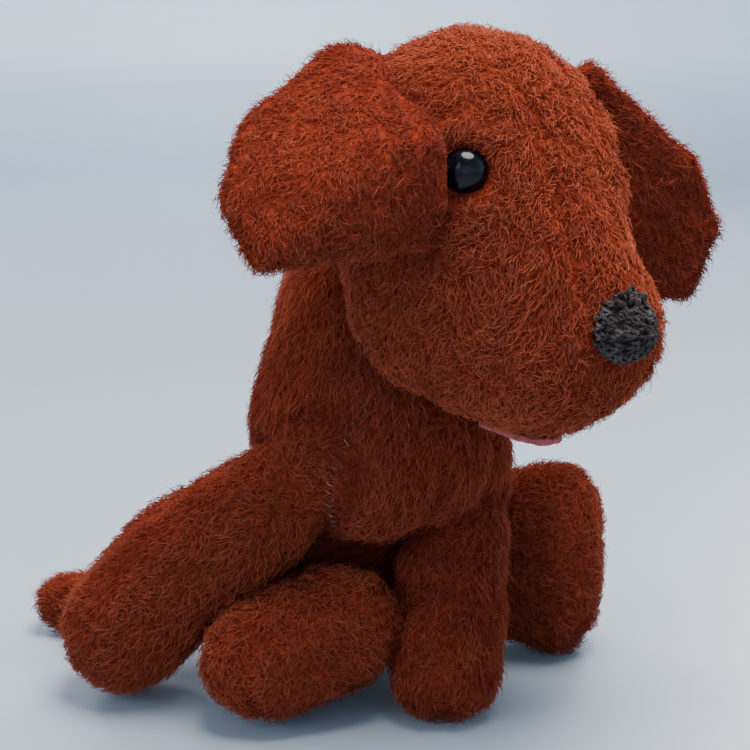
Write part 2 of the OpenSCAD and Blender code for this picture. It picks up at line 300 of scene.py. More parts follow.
def unit(v):
    return v / np.maximum(np.linalg.norm(v, axis=-1, keepdims=True), 1e-12)


def smoothstep(x, lo, hi):
    t = np.clip((x - lo) / (hi - lo), 0, 1)
    return t * t * (3 - 2 * t)


def node_points(*names):
    return np.vstack([coords(NODES[n]) for n in names])


def joint_at(name):
    return np.array(JOINTS[name]["pos_m"])


def hull_into(bm, points):
    """Adds the convex hull of some points to bm."""
    other = bmesh.new()
    for p in points:
        other.verts.new(p)
    bmesh.ops.remove_doubles(other, verts=other.verts, dist=0.05 * MM)
    made = bmesh.ops.convex_hull(other, input=other.verts, use_existing_faces=False)
    spare = {g for g in made["geom_interior"] + made["geom_unused"] if isinstance(g, bmesh.types.BMVert)}
    bmesh.ops.delete(other, geom=list(spare), context="VERTS")
    mesh = bpy.data.meshes.new("hull")
    other.to_mesh(mesh)
    other.free()
    bm.from_mesh(mesh)
    bpy.data.meshes.remove(mesh)


def ball_points(centre, radius, count):
    """Points spread evenly over a ball."""
    i = np.arange(count) + 0.5
    z = 1 - 2 * i / count
    turn = math.pi * (1 + 5 ** 0.5) * i
    r = np.sqrt(1 - z * z)
    return np.array(centre) + radius * np.stack([r * np.cos(turn), r * np.sin(turn), z], 1)


def apply_modifiers(obj):
    dg = bpy.context.evaluated_depsgraph_get()
    mesh = bpy.data.meshes.new_from_object(obj.evaluated_get(dg))
    old = obj.data
    obj.modifiers.clear()
    obj.data = mesh
    bpy.data.meshes.remove(old)
    return obj


def remesh(obj, voxel):
    mod = obj.modifiers.new("voxels", "REMESH")
    mod.mode, mod.voxel_size = "VOXEL", voxel
    mod.use_smooth_shade = True
    return apply_modifiers(obj)


def relax(obj, rounds):
    """Draws each vertex half way to the mean of its neighbours, round after round."""
    mesh = obj.data
    edges = np.empty(len(mesh.edges) * 2, int)
    mesh.edges.foreach_get("vertices", edges)
    a, b = edges.reshape(-1, 2).T
    co = coords(obj)
    count = np.maximum(np.bincount(a, minlength=len(co)) + np.bincount(b, minlength=len(co)), 1)
    for _ in range(rounds):
        for k in range(3):
            m = (np.bincount(a, co[b, k], len(co)) + np.bincount(b, co[a, k], len(co))) / count
            co[:, k] += 0.5 * (m - co[:, k])
    set_coords(obj, co)


def lattice_noise(co, scale, seed):
    """Smooth noise, mostly from -1 to 1, at points, from a few turned sine waves."""
    rng = np.random.default_rng(seed)
    out = np.zeros(len(co))
    for _ in range(7):
        k = rng.normal(size=3)
        k = k / np.linalg.norm(k) * scale * rng.uniform(0.6, 1.5)
        out += np.sin(co @ k + rng.uniform(0, 2 * math.pi))
    return out / 3.0


def bell(distance, height, width):
    """A bell curve over distance: height in the middle, gone at about twice the width."""
    return height * np.exp(-(distance / width) ** 2)


def around(co, middle):
    """Each point's distance from a middle."""
    return np.linalg.norm(co - middle, axis=1)


# ---- skins: the stuffed forms under the pile ----

STAND_OUT = 0.5 * MM                 # the woven ground lies this far outside the CAD surface
SWELL = 1.2 * MM                     # how much the pressure may blow a panel up
FINE_VOXEL = 3.0 * MM
VOXEL = 4.5 * MM
TORSO_VOXEL = 4.0 * MM
HOLLOW = np.array([-16.0, -36.0, 45.0]) * MM     # where the belly draws in under the chest


class Panels:
    """Distances to a set of CAD panels, which say where the seams between them run."""

    def __init__(self, names):
        self.trees = []
        for name in names:
            mesh = NODES[name].data
            self.trees.append(BVHTree.FromPolygons([v.co for v in mesh.vertices],
                                                   [p.vertices for p in mesh.polygons]))

    def side(self, co):
        """Which panel each point is nearest to."""
        return np.array([np.argmin([t.find_nearest(Vector(c))[3] for t in self.trees]) for c in co])

    def seam(self, co):
        """How far each point is from the nearest seam, roughly."""
        out = np.empty(len(co))
        for i, c in enumerate(co):
            near = sorted((t.find_nearest(Vector(c))[3] or 0) for t in self.trees)
            out[i] = near[1] - near[0]
        return out


def sewn(body, panels, filling, joint, root=0):
    """A skin's panels, stuffing and joint, by the names of its body's nodes."""
    return dict(panels=[f"{body}_{p}" for p in panels], stuffing=[f"{body}_{filling}"],
                joint=f"{body}_{joint}", root=root * MM)


SKINS = {                            # root: the radius of the seam where a limb joins the torso
    "torso": dict(panels=["body_side_right", "body_side_left", "belly_panel"], stuffing=["body_stuffing"]),
    "head": dict(panels=["head_side_right", "head_side_left", "head_gusset", "chin_panel"],
                 stuffing=["head_stuffing"]),
    "foreleg_right": sewn("foreleg_right", ("front", "back"), "stuffing", "lift", 16),
    "foreleg_left": sewn("foreleg_left", ("front", "back"), "stuffing", "lift", 15),
    "hindleg_right": sewn("hindleg_right", ("cover", "sole"), "stuffing", "swing", 12),
    "hindleg_left": sewn("hindleg_left", ("cover", "sole"), "stuffing", "swing", 12),
    "tail": sewn("tail", ("upper", "lower"), "stuffing", "swing", 11),
    "ear_right": sewn("ear_right", ("outer", "lining"), "wadding", "flap"),
    "ear_left": sewn("ear_left", ("outer", "lining"), "wadding", "flap"),
}


def joined(name, nodes, hulls=(), voxel=VOXEL):
    """The union of some CAD nodes and convex hulls, as one evenly meshed skin."""
    bm = bmesh.new()
    for n in nodes:
        bm.from_mesh(NODES[n].data)
    for points in hulls:
        hull_into(bm, points)
    return remesh(from_bmesh(name, bm), voxel)


def torso_form(name, nodes):
    """Chest, waist and rump in one, with the narrow clearances round the limbs closed up, and
    the breast full over the left foreleg's root."""
    gap = 5 * MM
    obj = joined(name, nodes, voxel=FINE_VOXEL)
    set_coords(obj, coords(obj) + normals(obj) * gap)
    remesh(obj, FINE_VOXEL)
    set_coords(obj, coords(obj) - normals(obj) * gap)
    p = coords(obj)
    root = joint_at("foreleg_left_lift")
    breast = p[(p[:, 2] > root[2] - 8 * MM) & (p[:, 2] < root[2] + 30 * MM)]
    full = ball_points(root + np.array([1.0, 0.0, -1.0]) * MM, 17.0 * MM, 300)
    bm = bmesh.new()
    bm.from_mesh(obj.data)
    hull_into(bm, np.vstack([breast, full]))
    bm.to_mesh(obj.data)
    bm.free()
    return remesh(obj, TORSO_VOXEL)


def limb_form(name, nodes, joint, root_radius):
    """A limb that carries on into the torso as far as its root."""
    p = node_points(*nodes)
    at = joint_at(joint)
    near = p[around(p, at) < 1.35 * root_radius]
    hulls = [np.vstack([ball_points(at, 0.96 * root_radius, 200), near])]
    if joint == "foreleg_right_lift":      # the sewn shoulder lies forward over the chest's side
        shoulder = at + np.array([1.0, -10.0, 8.0]) * MM
        hulls.append(np.vstack([near, ball_points(shoulder, 18.5 * MM, 300)]))
    return joined(name, nodes, hulls)


def ear_form(name, nodes, joint):
    """An ear that carries on into the head; the right one's front edge folds forward to the eye."""
    p = node_points(*nodes)
    at, axis = joint_at(joint), np.array(JOINTS[joint]["axis"], float)
    axis /= np.linalg.norm(axis)
    off = p - at
    near = p[np.linalg.norm(off - np.outer(off @ axis, axis), axis=1) < 9 * MM]
    inward = np.array(coords(NODES["head_stuffing"]).mean(0)) - near.mean(0)
    inward *= 6 * MM / np.linalg.norm(inward)
    hulls = [np.vstack([near, near + inward])]
    if joint == "ear_right_flap":
        eye, facing = eye_axis("right")
        back = at + np.array([0, 0, -0.030]) - eye
        back = unit(back - (back @ facing) * facing)
        fold = [eye + back * 7.6 * MM + facing * 3.9 * MM + np.array([0, 0, z]) * MM for z in (8, -2, -11)]
        hulls.append(np.vstack([p] + [ball_points(f, 3.6 * MM, 80) for f in fold]))
    return joined(name, nodes, hulls, FINE_VOXEL)


def make_skins():
    """Every skin, as a soft form before it is blown up."""
    skins = {}
    for body, spec in SKINS.items():
        name, nodes = "skin_" + body, spec["panels"] + spec["stuffing"]
        if body == "torso":
            obj = torso_form(name, nodes)
        elif body == "head":
            obj = joined(name, nodes)
        elif body.startswith("ear"):
            obj = ear_form(name, nodes, spec["joint"])
        else:
            obj = limb_form(name, nodes, spec["joint"], spec["root"])
        relax(obj, 2 if body.startswith("ear") else 3)
        spec["seams"] = Panels(spec["panels"])
        spec["seam"] = spec["seams"].seam(coords(obj))
        set_coords(obj, coords(obj) - normals(obj) * (SWELL * 0.6 - STAND_OUT))
        skins[body] = obj
    return skins


def blow_up(skins):
    """The stuffing's pressure, as cloth pinned along its seams: the panels crown between them."""
    start = {body: coords(obj) for body, obj in skins.items()}
    first, last = 1, 20
    scene = bpy.context.scene
    for body, obj in skins.items():
        group = obj.vertex_groups.new(name="seam")
        hold = np.exp(-(SKINS[body]["seam"] / (2.2 * MM)) ** 2)
        for i in np.nonzero(hold > 0.05)[0]:
            group.add([int(i)], float(hold[i]), "REPLACE")
        mod = obj.modifiers.new("stuffing_pressure", "CLOTH")
        cloth = mod.settings
        cloth.quality = 4
        cloth.mass = 0.15
        cloth.tension_stiffness = cloth.compression_stiffness = 25
        cloth.shear_stiffness = 10
        cloth.bending_stiffness = 2
        cloth.use_pressure = True
        cloth.uniform_pressure_force = 4
        cloth.effector_weights.gravity = 0
        cloth.vertex_group_mass = "seam"
        mod.collision_settings.use_collision = False
    for f in range(first, last + 1):
        scene.frame_set(f)
    dg = bpy.context.evaluated_depsgraph_get()
    cap = 1.5 * SWELL
    for body, obj in skins.items():
        moved = coords(obj.evaluated_get(dg)) - start[body]
        size = np.linalg.norm(moved, axis=1)
        moved *= (cap * np.tanh(size / cap) / np.maximum(size, 1e-9))[:, None]
        obj.modifiers.clear()
        set_coords(obj, start[body] + moved)
    scene.frame_set(first)


def eye_lean(side):
    """How far the photo shows an eye from the CAD's place for it."""
    return np.array([-0.4, 0.9, 1.1]) * MM if side == "right" else np.zeros(3)


def eye_axis(side):
    """The middle of an eye's dome and the way it faces, from its shank's washer."""
    p, washer = coords(NODES["eye_" + side]), coords(NODES["eye_washer_" + side]).mean(0)
    axis = unit(p.mean(0) - washer)
    top = (p - washer) @ axis
    return washer + axis * (top.max() - 6.0 * MM) + eye_lean(side), axis


# ---- sculpting: changes of form that the stuffing makes and the panels' cut doesn't show ----

def bulge(co, no, middle, height, width):
    """Swells a skin round a middle, or hollows it where the height is negative."""
    return co + no * bell(around(co, middle), height, width)[:, None]


def from_flap(co, joint):
    """Each point's distance from an ear's root line."""
    axis = unit(np.array(JOINTS[joint]["axis"]))
    off = co - joint_at(joint)
    return np.linalg.norm(off - np.outer(off @ axis, axis), axis=1)


def sculpt_head(co, no):
    """Brows round sunken eyes, a full muzzle and chin beside the nose, and a higher crown."""
    sunk = 2.0 * MM
    for side, brow in zip(SIDES, (1.6 * MM, 3.2 * MM)):
        eye, axis = eye_axis(side)
        d = around(co, eye)
        co = co + no * bell(d - 12 * MM, brow, 4.5 * MM)[:, None]
        co = co - axis * (sunk * smoothstep(-d, -8 * MM, -5 * MM))[:, None]
    lo, hi = map(np.array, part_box("nose_knot"))
    nose = (lo + hi) / 2
    co = bulge(co, no, nose + np.array([14.0, 9.0, 2.0]) * MM, 5.0 * MM, 15 * MM)
    co = bulge(co, no, nose + np.array([12.0, 12.0, -14.0]) * MM, 3.6 * MM, 14 * MM)
    top = co[:, 2].max()
    co[:, 2] += 2.4 * MM * smoothstep(co[:, 2], top - 30 * MM, top)
    return co


def sculpt_hindleg(body, co, no):
    """A crowned sole; the right foot is also drawn up and forward, with a longer heel."""
    foot = node_points(body + "_sole").mean(0)
    cover = node_points(body + "_cover")
    sole = unit(foot - cover[around(cover, foot) < 30 * MM].mean(0))
    out = (co - foot) @ sole
    across = around(co - foot, np.outer(out, sole))
    crown = smoothstep(out, -12 * MM, 2 * MM) * np.clip(1 - (across / (30 * MM)) ** 2, 0, 1)
    far = smoothstep(around(co, joint_at(body + "_swing")), 14 * MM, 34 * MM)
    if body == "hindleg_left":
        return co + np.outer(crown, sole) * 4.0 * MM + no * (1.2 * MM * far)[:, None]
    co = co + np.outer(crown, sole) * 1.5 * MM + no * (0.8 * MM * far)[:, None]
    co = co + np.outer(far, np.array([2.6, -2.0, 3.0])) * MM
    to_heel = np.array([-0.643, 0.766, 0.0])
    heel = smoothstep((co - foot) @ to_heel, -6 * MM, 26 * MM) * far
    return co + np.outer(heel, np.array([-4.6, 5.4, -0.5])) * MM


def sculpt_ear(body, co):
    """The ears stand out from the head, and the right one's lower half from the cheek."""
    joint = body + "_flap"
    reach = from_flap(co, joint)
    if body == "ear_left":
        far = smoothstep(reach, 15 * MM, 50 * MM)
        return co + np.outer(far, np.array([2.2, -2.0, -0.8])) * MM
    root = joint_at(joint)
    far = smoothstep(reach, 8 * MM, 45 * MM)
    low = smoothstep(root[2] - co[:, 2], 25 * MM, 60 * MM)
    out = unit(np.array([root[0] * 2.2, root[1] - node_points("head_stuffing")[:, 1].mean(), 0.0]))
    return co + np.outer(far, out) * 3.0 * MM + np.outer(low, out * 2.5 + np.array([0, 0, -2.2])) * MM


def sculpt_foreleg(body, co, no):
    """Forelegs plump beyond their roots; the right one's upper side bulges most."""
    reach = around(co, joint_at(body + "_lift"))
    far = smoothstep(reach, 12 * MM, 30 * MM)
    if body == "foreleg_left":
        co = co + no * (1.8 * MM * far)[:, None]
        return co + np.outer(far, np.array([-1.6, 0.6, 0.0])) * MM
    upward = unit(np.array([-0.24, 0.58, 0.78]))
    upper = np.clip(no @ upward, 0, 1) * bell(reach - 56 * MM, 1, 24 * MM)
    return co + no * (1.9 * MM * far + 5.5 * MM * upper)[:, None]


def sculpt(body, co, no):
    if body == "head":
        return sculpt_head(co, no)
    if body == "torso":
        return bulge(co, no, HOLLOW, -6.0 * MM, 17 * MM)
    if body == "tail":
        return co + no * 1.2 * MM
    if body.startswith("ear"):
        return sculpt_ear(body, co)
    if body.startswith("foreleg"):
        return sculpt_foreleg(body, co, no)
    return sculpt_hindleg(body, co, no)


def finish_skin(body, obj):
    """One subdivision and the sculpting, then the seams drawn in and a slight unevenness."""
    mod = obj.modifiers.new("finer", "SUBSURF")
    mod.levels = mod.render_levels = 1
    apply_modifiers(obj)
    set_coords(obj, sculpt(body, coords(obj), normals(obj)))
    co, no = coords(obj), normals(obj)
    seam = SKINS[body]["seams"].seam(co)
    depth = 1.7 * MM if "hindleg" in body else 1.1 * MM
    co = co - no * bell(seam, depth, 1.6 * MM)[:, None]
    co += no * (0.5 * MM * lattice_noise(co, 230, 5))[:, None]
    co[:, 2] = np.maximum(co[:, 2], FLOOR_CLEAR)
    set_coords(obj, co)
    for p in obj.data.polygons:
        p.use_smooth = True
    SKINS[body]["seam"] = seam
    obj.data.materials.clear()
    obj.data.materials.append(GROUND)
    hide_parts(*SKINS[body]["panels"], *SKINS[body]["stuffing"])


def bind(body, obj):
    """A piece of the torso or head rides on its body; any other only has its transform baked into its mesh.
    """
    spec = SKINS[body]
    if body in ("torso", "head"):
        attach(obj, body)
        return
    middle = node_points(*spec["panels"]).mean(0)
    if body.startswith("ear"):
        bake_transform(obj)
    else:
        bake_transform(obj)


# ---- pile ----

STEPS = np.array([0.0, 0.32, 0.62, 0.86, 1.0])   # a strand's points, as shares of its length
THICK = np.array([1.0, 1.0, 0.82, 0.55])         # its thickness at all of them but the tip
CORNERS = 3                                      # a strand's cross-section is a triangle
PER_STRAND = CORNERS * len(THICK) + 1            # vertices: the rings and the tip
CHUNK = 9000                                     # the most strands in one piece
CREASE = 6 * MM                      # the pile is pressed down, and darkened with painted shade, this near another body

# The tones are paler on the head and darker on the torso, the left foreleg and the hind legs, as painted
# light from above and painted shade low down.
PILES = {                            # strands per mm2, length mm, lift, disorder, curl radius mm, tone
    "torso": dict(density=1.0, length=6.2, lift=0.30, mess=0.6, curl=0.75, tone=0.36),
    "head": dict(density=1.3, length=4.9, lift=0.34, mess=1.2, curl=0.85, tone=0.62),
    "foreleg_right": dict(density=1.05, length=5.4, lift=0.32, mess=0.9, curl=0.8, tone=0.46),
    "foreleg_left": dict(density=1.05, length=5.4, lift=0.32, mess=0.9, curl=0.8, tone=0.33),
    "hindleg_right": dict(density=1.15, length=4.8, lift=0.34, mess=1.0, curl=0.8, tone=0.36),
    "hindleg_left": dict(density=1.15, length=4.8, lift=0.34, mess=1.0, curl=0.8, tone=0.36),
    "tail": dict(density=1.05, length=5.4, lift=0.34, mess=0.9, curl=0.8, tone=0.42),
    "ear_right": dict(density=1.25, length=4.4, lift=0.27, mess=1.1, curl=0.8, tone=0.44),
    "ear_left": dict(density=1.25, length=4.6, lift=0.30, mess=1.1, curl=0.8, tone=0.5),
}


def sample(obj, seam, per_mm2, rng):
    """Even random points on a skin, with their normals and seam distances."""
    mesh = obj.data
    mesh.calc_loop_triangles()
    tri = np.empty(len(mesh.loop_triangles) * 3, int)
    mesh.loop_triangles.foreach_get("vertices", tri)
    tri = tri.reshape(-1, 3)
    co, no = coords(obj), normals(obj)
    a, b, c = co[tri[:, 0]], co[tri[:, 1]], co[tri[:, 2]]
    area = 0.5 * np.linalg.norm(np.cross(b - a, c - a), axis=1)
    total = np.cumsum(area)
    count = int(total[-1] / MM ** 2 * per_mm2)
    pick = np.searchsorted(total, (np.arange(count) + rng.random(count)) / count * total[-1])
    pick = np.minimum(pick, len(tri) - 1)
    u, v = rng.random(count), rng.random(count)
    flip = u + v > 1
    u[flip], v[flip] = 1 - u[flip], 1 - v[flip]
    w = np.stack([1 - u - v, u, v], 1)[:, :, None]
    at = (co[tri[pick]] * w).sum(1)
    n = unit((no[tri[pick]] * w).sum(1))
    s = (seam[tri[pick]] * w[:, :, 0]).sum(1)
    return at, n, s


def strand_paths(at, n, lay, length, lift, radius, turns, phase, width):
    """Each strand's points: it rises, lies over along lay, and curls as it goes."""
    side = unit(np.cross(n, lay))
    up = unit(np.cross(side, unit(n * lift[:, None] + lay)))
    path = np.empty((len(at), len(STEPS), 3))
    for k, s in enumerate(STEPS):
        rise = lift * (1 - (1 - s) ** 1.7)
        lean = s ** 1.15 * np.sqrt(1 - 0.6 * lift ** 2)
        turn = phase + 2 * math.pi * turns * s
        r = radius * (0.35 + 0.65 * s)
        path[:, k] = (at + length[:, None] * (n * rise[:, None] + lay * lean[:, None])
                      + side * (r * np.cos(turn) - 0.35 * radius * np.cos(phase))[:, None]
                      + up * (r * np.sin(turn) - 0.35 * radius * np.sin(phase))[:, None])
    path -= n[:, None] * (0.5 * MM)
    path[:, :, 2] = np.maximum(path[:, :, 2], FLOOR_CLEAR + width[:, None] * 0.7)
    return path, side


def strand_rings(path, side, width):
    """The vertices round each strand, ring after ring, and its tip."""
    tangent = np.empty_like(path)
    tangent[:, 1:-1] = path[:, 2:] - path[:, :-2]
    tangent[:, 0], tangent[:, -1] = path[:, 1] - path[:, 0], path[:, -1] - path[:, -2]
    tangent = unit(tangent)
    vert = np.empty((len(path), PER_STRAND, 3))
    a = unit(np.cross(tangent[:, 0], side + 0.01))
    for k in range(len(THICK)):
        a = unit(a - (a * tangent[:, k]).sum(1, keepdims=True) * tangent[:, k])
        b = np.cross(tangent[:, k], a)
        for j in range(CORNERS):
            angle = 2 * math.pi * j / CORNERS
            round_it = a * math.cos(angle) + b * math.sin(angle)
            vert[:, CORNERS * k + j] = path[:, k] + round_it * (width * THICK[k])[:, None]
    vert[:, -1] = path[:, -1]
    return vert


def curl_mesh(name, at, n, lay, length, lift, radius, turns, phase, width, tone):
    """Closed three-sided tapering curls, one after another in one mesh."""
    count = len(at)
    vert = strand_rings(*strand_paths(at, n, lay, length, lift, radius, turns, phase, width), width)
    quads = [(3 * k + j, 3 * k + (j + 1) % 3, 3 * k + 3 + (j + 1) % 3, 3 * k + 3 + j)
             for k in range(len(THICK) - 1) for j in range(CORNERS)]
    tris = [(9, 10, 12), (10, 11, 12), (11, 9, 12), (2, 1, 0)]          # the tip's sides and the root
    loops = np.array([i for q in quads for i in q] + [i for t in tris for i in t])
    sizes = np.array([4] * len(quads) + [3] * len(tris))
    start = np.concatenate([[0], np.cumsum(sizes)[:-1]])
    all_loops = (loops[None] + PER_STRAND * np.arange(count)[:, None]).ravel()
    all_start = (start[None] + len(loops) * np.arange(count)[:, None]).ravel()
    mesh = bpy.data.meshes.new(name)
    mesh.vertices.add(PER_STRAND * count)
    mesh.vertices.foreach_set("co", vert.ravel())
    mesh.loops.add(len(all_loops))
    mesh.loops.foreach_set("vertex_index", all_loops)
    mesh.polygons.add(len(all_start))
    mesh.polygons.foreach_set("loop_start", all_start)
    mesh.update(calc_edges=True)
    mesh.polygons.foreach_set("use_smooth", np.ones(len(all_start), bool))
    uv = np.empty((count, PER_STRAND, 2))
    uv[:, :, 0] = tone[:, None]
    uv[:, :, 1] = np.append(np.repeat(STEPS[:-1], CORNERS), STEPS[-1])[None]
    margin = 0.02
    uv = margin + (1 - 2 * margin) * uv.reshape(-1, 2)
    layer = mesh.uv_layers.new(name="OFBake")
    layer.data.foreach_set("uv", uv[all_loops].ravel())
    mesh.materials.append(PILE)
    return link(name, mesh)


class Keepouts:
    """The hard trims that the pile is clipped round: the eyes and the nose."""

    def __init__(self):
        self.balls = [(eye_axis(side)[0], 6.4 * MM, 4.0 * MM) for side in SIDES]
        lo, hi = map(np.array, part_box("nose_knot"))
        self.balls.append(((lo + hi) / 2, 0.5 * float((hi - lo).min()) - 1.0 * MM, 6 * MM))

    def measure(self, at):
        """(length factor, direction away from the nearest trim, its weight) for each point."""
        factor, away, weight = np.ones(len(at)), np.zeros_like(at), np.zeros(len(at))
        for centre, radius, soft in self.balls:
            d = at - centre
            r = np.linalg.norm(d, axis=1)
            f = np.clip((r - radius) / soft, 0, 1)
            factor = np.minimum(factor, np.where(r < radius, 0, 0.5 + 0.5 * f))
            w = np.clip(1.6 - (r - radius) / soft, 0, 1)
            away += unit(d) * w[:, None]
            weight = np.maximum(weight, w)
        return factor, away, weight


def comb(body, at):
    """The way the pile is brushed at each point, before its disorder."""
    down = np.tile([0.0, 0.0, -1.0], (len(at), 1))
    if body == "torso":
        return down + np.array([-0.35, 0.1, 0])
    if body == "head":
        return down * 0.9 + np.array([-0.5, 0.2, 0.0])
    root = joint_at(SKINS[body]["joint"])
    return unit(at - root) + 0.3 * down


def neighbours(body, at, alive, trees):
    """Clears alive for the points inside other bodies; returns the distances to the nearest one."""
    gap = np.full(len(at), 1.0)
    deep = 0.8 * MM if body == "head" else -2.0 * MM
    for other, (tree, lo, hi) in trees.items():
        if other == body:
            continue
        close = ((at > lo - CREASE) & (at < hi + CREASE)).all(1) & alive
        for i in np.nonzero(close)[0]:
            near, normal, _, _ = tree.find_nearest(Vector(at[i]), 0.02)
            if near is not None:
                away = Vector(at[i]) - near
                height = away.dot(normal)
                if height < deep:
                    alive[i] = False
                gap[i] = min(gap[i], away.length if height > 0 else 0.0)
    return gap


def pile_tone(body, at, seam, crease, spec, rng):
    """From 0, dark, to 1, pale: patches and strays, painted shade on the ear linings, under the chest and
    in the creases, and a painted highlight along the ear rims.
    """
    count = len(at)
    tone = (spec["tone"] + 0.16 * lattice_noise(at, 90, 11) + 0.13 * lattice_noise(at, 500, 12)
            + 0.11 * rng.normal(size=count) + 0.30 * (rng.random(count) < 0.07))
    if body.startswith("ear"):
        # painted shade: the ear's lining, which faces the head, is made darker
        lining = SKINS[body]["seams"].side(at) == 1
        tone[lining] -= 0.35
    if body == "torso":
        # painted shade under the chest, where the belly draws in
        tone -= bell(around(at, HOLLOW), 0.5, 18 * MM)
    # painted shade in the creases next to other bodies
    tone -= 0.45 * crease
    # painted highlight along the ear's rims, where the outer panel meets the lining; the rest of the ear is
    # a little darker
    if body.startswith("ear"):
        tone += bell(seam, 0.34, 6 * MM) - 0.10
    return tone


def grow_body(body, number, obj, keep, trees):
    """One body's pile, in pieces of at most CHUNK strands."""
    spec = PILES[body]
    rng = np.random.default_rng(40 + number)
    at, n, seam = sample(obj, SKINS[body]["seam"], spec["density"], rng)
    under = (at[:, 2] < 1.5 * MM) & (n[:, 2] < -0.6)         # where it sits on the floor
    alive = ~under
    # the crease weight shortens the pile and darkens it with painted shade
    crease = bell(neighbours(body, at, alive, trees), 1, 0.55 * CREASE)
    factor, away, pull = keep.measure(at)
    alive &= factor > 0
    at, n, seam, factor, away, pull, crease = (
        x[alive] for x in (at, n, seam, factor, away, pull, crease))
    count = len(at)
    locks = np.stack([0.7 * lattice_noise(at, 300, 70 + 3 * number + k)
                      + 0.8 * lattice_noise(at, 950, 170 + 3 * number + k) for k in range(3)], 1)
    wild = rng.normal(size=(count, 3))
    lay = comb(body, at) + spec["mess"] * (0.80 * locks + 0.42 * wild) + 3.0 * away * pull[:, None]
    lay = unit(lay - (lay * n).sum(1, keepdims=True) * n)
    if body in ("torso", "foreleg_right"):
        line = seam_course(60)
        seam = np.minimum(seam, np.linalg.norm(at[:, None] - line[None], axis=2).min(1) * 0.8)
    near_seam = 1 - bell(seam, 0.45, 1.8 * MM)
    length = spec["length"] * MM * rng.uniform(0.65, 1.25, count) * factor * near_seam * (1 - 0.35 * crease)
    lift = spec["lift"] * rng.uniform(0.5, 1.35, count) * (1 - 0.5 * pull)
    radius = spec["curl"] * MM * rng.uniform(0.5, 1.4, count) * factor
    turns = rng.uniform(0.45, 1.15, count) * rng.choice([-1, 1], count)
    width = rng.uniform(0.12, 0.19, count) * MM
    stray = rng.random(count) < 0.010
    length[stray] *= 1.5
    width[stray] *= 0.7
    lift[stray] *= 1.1
    tone = pile_tone(body, at, seam, crease, spec, rng)
    tone[stray] = 1.0
    tone = np.clip(tone, 0, 1)
    phase = rng.uniform(0, 2 * math.pi, count)
    order = rng.permutation(count)
    strands = (at, n, lay, length, lift, radius, turns, phase, width, tone)
    for k, part in enumerate(np.array_split(order, max(1, math.ceil(count / CHUNK)))):
        fur = curl_mesh(f"pile_{body}_{k + 1}", *(x[part] for x in strands))
        bind(body, fur)


def grow_pile(skins):
    """The pile of every body, clipped at the trims and left out where bodies touch."""
    keep = Keepouts()
    dg = bpy.context.evaluated_depsgraph_get()
    trees = {body: (BVHTree.FromObject(obj, dg), coords(obj).min(0), coords(obj).max(0))
             for body, obj in skins.items()}
    for number, (body, obj) in enumerate(skins.items()):
        grow_body(body, number, obj, keep, trees)


# ---- trims ----

def tubes(name, paths, radius, sides, material, plies, twist):
    """Closed twisted yarns of so many plies, along paths of points; twist is in turns a metre."""
    verts, faces = [], []
    for path in paths:
        path = np.asarray(path, float)
        tangent = unit(np.gradient(path, axis=0))
        a = np.cross(tangent[0], [0.31, 0.52, 0.79])
        frames = []
        for t in tangent:
            a = unit(a - (a @ t) * t)
            frames.append((a, np.cross(t, a)))
        step = np.linalg.norm(np.diff(path, axis=0), axis=1)
        run = np.concatenate([[0], np.cumsum(step)])
        for ply in range(plies):
            base = len(verts)
            for k, (point, (u, v)) in enumerate(zip(path, frames)):
                turn = 2 * math.pi * (ply / plies + run[k] * twist)
                centre = point + 0.52 * radius * (u * math.cos(turn) + v * math.sin(turn))
                end = 0.6 if k in (0, len(path) - 1) else 1.0
                r = radius * 0.62 * end
                for j in range(sides):
                    w = 2 * math.pi * j / sides
                    verts.append(centre + r * (u * math.cos(w) + v * math.sin(w)))
            for k in range(len(path) - 1):
                for j in range(sides):
                    p, q = base + k * sides + j, base + k * sides + (j + 1) % sides
                    faces.append((p, q, q + sides, p + sides))
            faces.append(tuple(base + j for j in reversed(range(sides))))
            faces.append(tuple(base + (len(path) - 1) * sides + j for j in range(sides)))
    mesh = bpy.data.meshes.new(name)
    mesh.from_pydata([tuple(v) for v in verts], [], faces)
    for p in mesh.polygons:
        p.use_smooth = True
    mesh.materials.append(material)
    return link(name, mesh)


